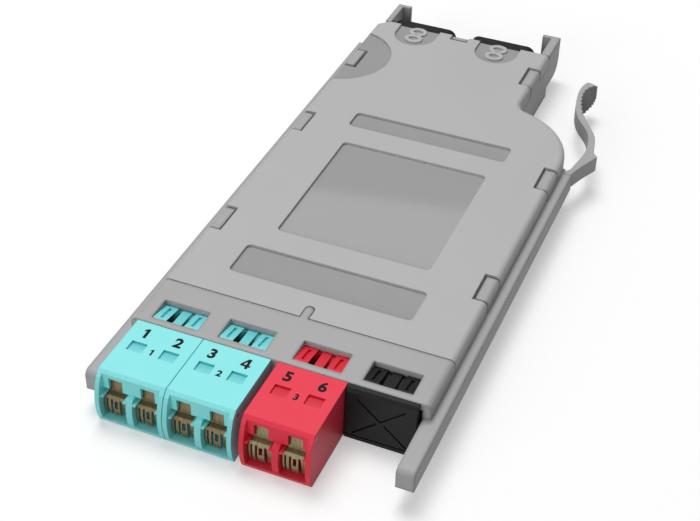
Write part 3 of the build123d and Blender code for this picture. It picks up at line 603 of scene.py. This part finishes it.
# Node tree of the eights: two rings of a rounded bead make one, and a second stands beside it
def eights_tree():
    tree = bpy.data.node_groups.new("raised_eights", "GeometryNodeTree")
    for size in EIGHT_SIZES:
        tree.interface.new_socket(size, in_out="INPUT", socket_type="NodeSocketFloat")
    tree.interface.new_socket("Finish", in_out="INPUT", socket_type="NodeSocketMaterial")
    tree.interface.new_socket("Geometry", in_out="OUTPUT", socket_type="NodeSocketGeometry")
    given = add(tree, "NodeGroupInput").outputs

    # One ring, measured over its bead, and then the two rings of an eight
    wide = add(
        tree,
        "ShaderNodeMath",
        {0: given["Ring width"], 1: given["Bead width"]},
        operation="SUBTRACT",
    )
    long = add(
        tree,
        "ShaderNodeMath",
        {0: given["Ring length"], 1: given["Bead width"]},
        operation="SUBTRACT",
    )
    ring_size = add(
        tree, "ShaderNodeCombineXYZ", {"X": wide.outputs[0], "Y": long.outputs[0], "Z": 1.0}
    )
    circle = add(tree, "GeometryNodeCurvePrimitiveCircle", {"Resolution": 56, "Radius": 0.5})
    ring = add(
        tree,
        "GeometryNodeTransform",
        {"Geometry": circle.outputs["Curve"], "Scale": ring_size.outputs[0]},
    )
    rings = add(tree, "GeometryNodeJoinGeometry")
    for share in (-0.5, 0.5):
        step = add(
            tree, "ShaderNodeMath", {0: given["Ring distance"], 1: share}, operation="MULTIPLY"
        )
        offset = add(tree, "ShaderNodeCombineXYZ", {"Y": step.outputs[0]})
        moved = add(
            tree,
            "GeometryNodeTransform",
            {"Geometry": ring.outputs[0], "Translation": offset.outputs[0]},
        )
        tree.links.new(moved.outputs[0], rings.inputs[0])

    # The bead's section: its lower half lies in the recess floor
    tall = add(tree, "ShaderNodeMath", {0: given["Bead relief"], 1: 2.0}, operation="MULTIPLY")
    square_bead = add(
        tree,
        "GeometryNodeCurvePrimitiveQuadrilateral",
        {"Width": given["Bead width"], "Height": tall.outputs[0]},
    )
    bead = add(
        tree,
        "GeometryNodeFilletCurve",
        {"Curve": square_bead.outputs["Curve"], "Radius": given["Bead round"], "Count": 4},
        mode="POLY",
    )
    level = add(tree, "GeometryNodeSetCurveNormal", {"Curve": rings.outputs[0]}, mode="Z_UP")
    eight = add(
        tree,
        "GeometryNodeCurveToMesh",
        {"Curve": level.outputs[0], "Profile Curve": bead.outputs[0]},
    )

    # The pair across the cover, as plain geometry with its finish
    across = add(tree, "ShaderNodeCombineXYZ", {"X": given["Pitch"]})
    places = add(tree, "GeometryNodeMeshLine", {"Count": 2, "Offset": across.outputs[0]})
    pair = add(
        tree,
        "GeometryNodeInstanceOnPoints",
        {"Points": places.outputs["Mesh"], "Instance": eight.outputs["Mesh"]},
    )
    real = add(tree, "GeometryNodeRealizeInstances", {"Geometry": pair.outputs[0]})
    smooth = add(tree, "GeometryNodeSetShadeSmooth", {"Geometry": real.outputs[0]})
    done = add(
        tree,
        "GeometryNodeSetMaterial",
        {"Geometry": smooth.outputs[0], "Material": given["Finish"]},
    )
    add(tree, "NodeGroupOutput", {"Geometry": done.outputs[0]})
    return tree


# The two raised eights, as one mesh on the cover
def raised_eights():
    carrier = bpy.data.objects.new("raised_eights", bpy.data.meshes.new("raised_eights"))
    bpy.context.scene.collection.objects.link(carrier)
    modifier = carrier.modifiers.new("eights", "NODES")
    modifier.node_group = eights_tree()
    for item in modifier.node_group.interface.items_tree:
        if item.in_out == "INPUT" and item.name in EIGHT_SIZES:
            modifier[item.identifier] = EIGHT_SIZES[item.name]
        elif item.in_out == "INPUT":
            modifier[item.identifier] = cover_painted_light_finish
    place = Matrix.Translation(Vector((EIGHT_X, EIGHT_Y, RECESS_FLOOR)) * MM)
    carrier.matrix_world = place @ Matrix.Scale(MM, 4)
    bpy.context.view_layer.update()
    # The eights take the cover's lighter copy of the grey, painted light
    piece = settle(carrier, cover_painted_light_finish)
    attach(piece, "housing")


raised_eights()

# Thumb pad of the lever in plan, in millimetres from the hinge and listed from the lever's
# tip: the toothed line of its top edge, which the CAD has, the straighter one of its foot, and
# how deep the teeth are
PAD_TOP = (
    (-3.35, 35.68),
    (-4.45, 34.9),
    (-5.03, 33.6),
    (-5.3, 32.1),
    (-5.25, 30.6),
    (-5.0, 29.1),
    (-4.65, 27.5),
    (-4.2, 25.9),
)
PAD_FOOT = (
    (-3.2, 35.4),
    (-3.12, 34.2),
    (-3.1, 33.0),
    (-3.22, 31.7),
    (-3.5, 30.3),
    (-3.8, 28.9),
    (-4.1, 27.5),
    (-4.15, 25.95),
)
PAD_TOOTH = 0.42

# The grip's face starts just under the lever's top and ends in a narrow chamfer at its foot,
# and its root is sunk in the lever's own pad
PAD_TOP_GAP = 0.02
PAD_CHAMFER_RISE = 0.35
PAD_CHAMFER_RUN = 0.3
PAD_ROOT_DEPTH = 0.5

# Rows round the grip's section: the line in plan, its height, and how far it is moved inward
PAD_ROWS = (
    (PAD_TOP, LEVER_TOP_Z - PAD_TOP_GAP, 0.0),
    (PAD_FOOT, LEVER_LOW_Z + PAD_CHAMFER_RISE, 0.0),
    (PAD_FOOT, LEVER_LOW_Z, PAD_CHAMFER_RUN),
    (PAD_TOP, LEVER_LOW_Z, PAD_ROOT_DEPTH),
)


# Zigzag along a line of the pad, its tips on the line and its roots inside it
def zigzag(line):
    out = [Vector(line[0])]
    for a, b in zip(line[:-1], line[1:]):
        a = Vector(a)
        b = Vector(b)
        along = (b - a).normalized()
        out.append((a + b) / 2 + Vector((along.y, -along.x)) * PAD_TOOTH)
        out.append(b)
    return out


# Scooped grip of the lever's thumb pad: a toothed face that leans out toward its foot
def pad_grip():
    form = bmesh.new()
    rows = []
    for line, z, inset in PAD_ROWS:
        row = []
        for p in zigzag(line):
            corner = Vector((LEVER_HINGE[0] + p.x - inset, LEVER_HINGE[1] + p.y, z))
            row.append(form.verts.new(corner * MM))
        rows.append(row)
    for first, second in zip(rows, rows[1:] + rows[:1]):
        for a, b, c, d in zip(first[:-1], first[1:], second[1:], second[:-1]):
            form.faces.new((a, b, c, d))
    form.faces.new([row[0] for row in rows])
    form.faces.new([row[-1] for row in reversed(rows)])
    bmesh.ops.recalc_face_normals(form, faces=form.faces)
    mesh = bpy.data.meshes.new("pad_grip")
    form.to_mesh(mesh)
    form.free()
    # The grip's face takes the darker copy of the grey, painted shade
    mesh.materials.append(grip_painted_shade_finish)
    piece = bpy.data.objects.new("pad_grip", mesh)
    bpy.context.scene.collection.objects.link(piece)
    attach(piece, "lever")


pad_grip()

# Photograph's camera: where it stands in metres, its right, down and forward directions,
# its focal length in pixels and the picture's width
CAMERA_PLACE = Vector((79.368, -220.918, 175.917)) * MM
CAMERA_RIGHT = Vector((0.9216475, 0.3877969, 0.0133963))
CAMERA_DOWN = Vector((0.2511141, -0.5697729, -0.7824964))
CAMERA_FORWARD = Vector((-0.2958168, 0.7245498, -0.6225110))
FOCAL_PIXELS = 1412.528
PHOTO_WIDTH = 700
SENSOR_WIDTH = 36.0


def photograph_camera():
    camera = bpy.data.cameras.new("camera")
    camera.sensor_width = SENSOR_WIDTH
    camera.lens = FOCAL_PIXELS * SENSOR_WIDTH / PHOTO_WIDTH
    camera.clip_start = 0.01
    camera_object = bpy.data.objects.new("camera", camera)
    turn = Matrix((CAMERA_RIGHT, -CAMERA_DOWN, -CAMERA_FORWARD)).transposed()
    camera_object.matrix_world = Matrix.Translation(CAMERA_PLACE) @ turn.to_4x4()
    bpy.context.scene.collection.objects.link(camera_object)
    bpy.context.scene.camera = camera_object


photograph_camera()

# Floor in metres: half its side, how far it lies under the module, and the distances
# between which the paper runs out into plain white
FLOOR_HALF = 3.0
FLOOR_DROP = 0.00005
RUN_OUT_START = 0.2
RUN_OUT_END = 0.5

# The paper's own glow and its share in what the camera sees, which bring the paper up to
# white beside the shadow
PAPER_GLOW = 1.62
GLOW_SHARE = 0.24


# White paper: for the camera and in reflections it is white and keeps the shadow, and on
# the module it throws back less light
def white_paper():
    material = bpy.data.materials.new("White paper floor")
    material.use_nodes = True
    tree = material.node_tree
    tree.nodes.clear()
    rays = add(tree, "ShaderNodeLightPath")
    seen = add(
        tree,
        "ShaderNodeMath",
        {0: rays.outputs["Is Camera Ray"], 1: rays.outputs["Is Glossy Ray"]},
        operation="MAXIMUM",
    )
    seen = add(
        tree,
        "ShaderNodeMath",
        {0: seen.outputs[0], 1: rays.outputs["Is Transmission Ray"]},
        operation="MAXIMUM",
    )
    bounced = add(tree, "ShaderNodeBsdfDiffuse", {"Color": linear("#A2A2A2")})
    paper = add(tree, "ShaderNodeBsdfDiffuse", {"Color": linear("#FAFAFA")})
    glow = add(tree, "ShaderNodeEmission", {"Color": linear(WHITE), "Strength": PAPER_GLOW})
    lit = add(
        tree,
        "ShaderNodeMixShader",
        {0: GLOW_SHARE, 1: paper.outputs[0], 2: glow.outputs[0]},
    )
    place = add(tree, "ShaderNodeTexCoord").outputs["Object"]
    far = add(tree, "ShaderNodeVectorMath", {0: place}, operation="LENGTH")
    run_out = add(
        tree,
        "ShaderNodeMapRange",
        {"Value": far.outputs["Value"], "From Min": RUN_OUT_START, "From Max": RUN_OUT_END},
    )
    plain = add(tree, "ShaderNodeEmission", {"Color": linear(WHITE), "Strength": 1.0})
    shown = add(
        tree,
        "ShaderNodeMixShader",
        {0: run_out.outputs["Result"], 1: lit.outputs[0], 2: plain.outputs[0]},
    )
    mixed = add(
        tree,
        "ShaderNodeMixShader",
        {0: seen.outputs[0], 1: bounced.outputs[0], 2: shown.outputs[0]},
    )
    add(tree, "ShaderNodeOutputMaterial", {"Surface": mixed.outputs[0]})
    return material


def paper_floor():
    mesh = bpy.data.meshes.new("floor")
    form = bmesh.new()
    bmesh.ops.create_grid(form, x_segments=1, y_segments=1, size=FLOOR_HALF)
    form.to_mesh(mesh)
    form.free()
    floor = bpy.data.objects.new("floor", mesh)
    floor.location = (0, 0, -FLOOR_DROP)
    bpy.context.scene.collection.objects.link(floor)
    mesh.materials.append(white_paper())


paper_floor()


# A soft rectangular lamp that looks at a point, with its places and its sides in metres
def soft_lamp(name, place, target, width, height, watts):
    lamp = bpy.data.lights.new(name, "AREA")
    lamp.shape = "RECTANGLE"
    lamp.size = width
    lamp.size_y = height
    lamp.energy = watts
    lamp_object = bpy.data.objects.new(name, lamp)
    lamp_object.location = place
    aim = Vector(target) - Vector(place)
    lamp_object.rotation_euler = aim.to_track_quat("-Z", "Y").to_euler()
    bpy.context.scene.collection.objects.link(lamp_object)


# High key from the rear left, and a weak fill from the front
soft_lamp("key", (-0.38, 0.5, 1.65), (0, 0, 0), width=0.9, height=0.9, watts=19.2)
soft_lamp("fill", (-0.2, -0.9, 0.3), (0, 0, 0), width=0.6, height=0.4, watts=2.5)
# Its mirror image lies on the lower part of the polished label pocket
soft_lamp(
    "card", (-0.367, 0.952, 0.879), (-0.197, 0, 0), width=0.6, height=0.2, watts=0.32
)

# How bright the surroundings are on the module, where one is the white behind it
SKY_STRENGTH = 0.22


# Pale surroundings: dim on the module, and white behind it for the camera
def pale_world():
    world = bpy.data.worlds.new("studio")
    world.use_nodes = True
    bpy.context.scene.world = world
    tree = world.node_tree
    tree.nodes.clear()
    rays = add(tree, "ShaderNodeLightPath")
    sky = add(tree, "ShaderNodeBackground", {"Color": linear(WHITE), "Strength": SKY_STRENGTH})
    white = add(tree, "ShaderNodeBackground", {"Color": linear(WHITE), "Strength": 1.0})
    seen = add(
        tree,
        "ShaderNodeMixShader",
        {0: rays.outputs["Is Camera Ray"], 1: sky.outputs[0], 2: white.outputs[0]},
    )
    add(tree, "ShaderNodeOutputWorld", {"Surface": seen.outputs[0]})


pale_world()

bpy.context.scene.view_settings.view_transform = "Standard"
